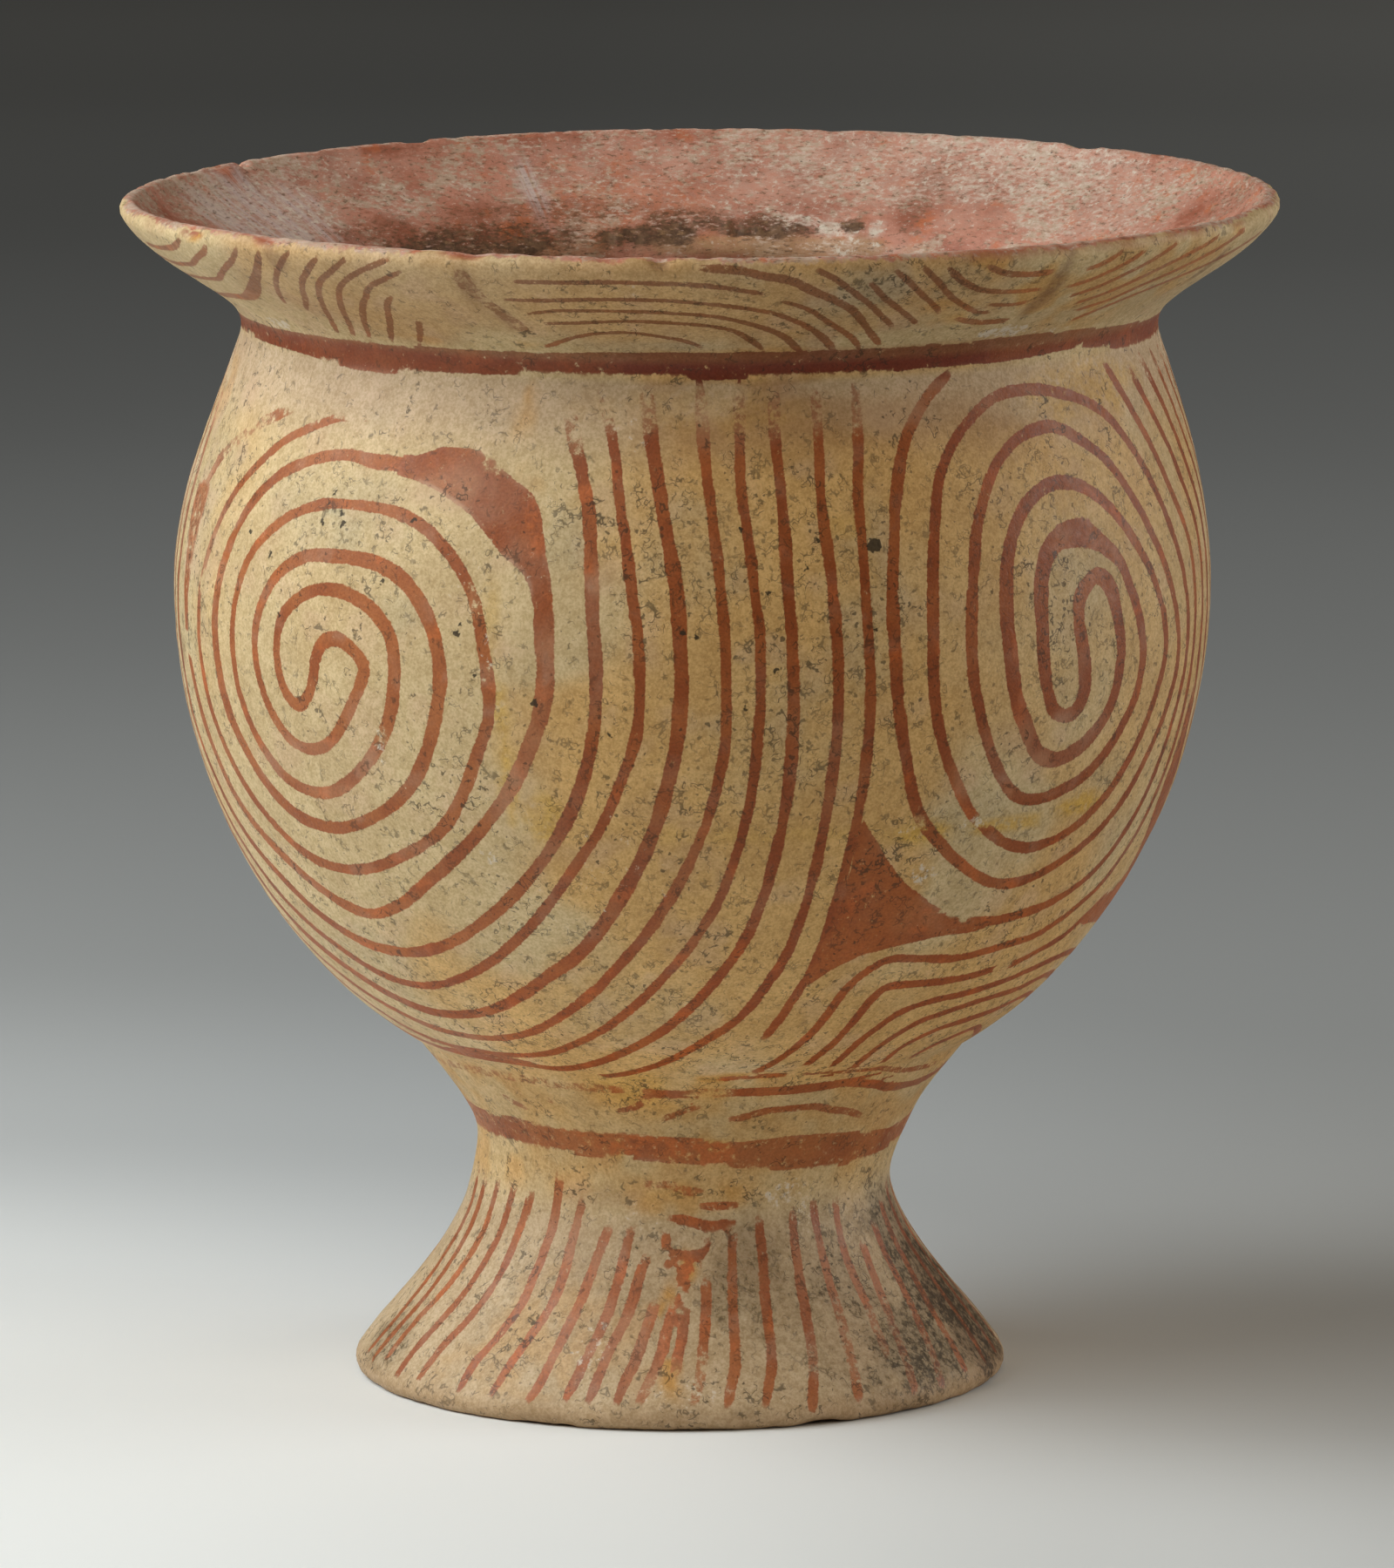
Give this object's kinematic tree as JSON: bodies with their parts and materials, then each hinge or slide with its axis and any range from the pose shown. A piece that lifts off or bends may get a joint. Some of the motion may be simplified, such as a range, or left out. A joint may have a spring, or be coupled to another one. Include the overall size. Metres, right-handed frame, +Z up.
{
  "type": "painted pottery jar",
  "caption": "Round-bodied earthenware jar with a wide flared rim on a hollow pedestal foot, painted in red on buff with interlocking spirals.",
  "frame": {"origin": "on the ground, under the middle of the mouth", "axes": "+Z up from the foot to the mouth, -Y towards the side that the picture shows, +X to its right"},
  "size_m": [0.3, 0.3, 0.31],
  "materials": {
    "painted_clay": "matte"
  },
  "bodies": {
    "root": {"painted_jar": "painted_clay"}
  },
  "joints": []
}
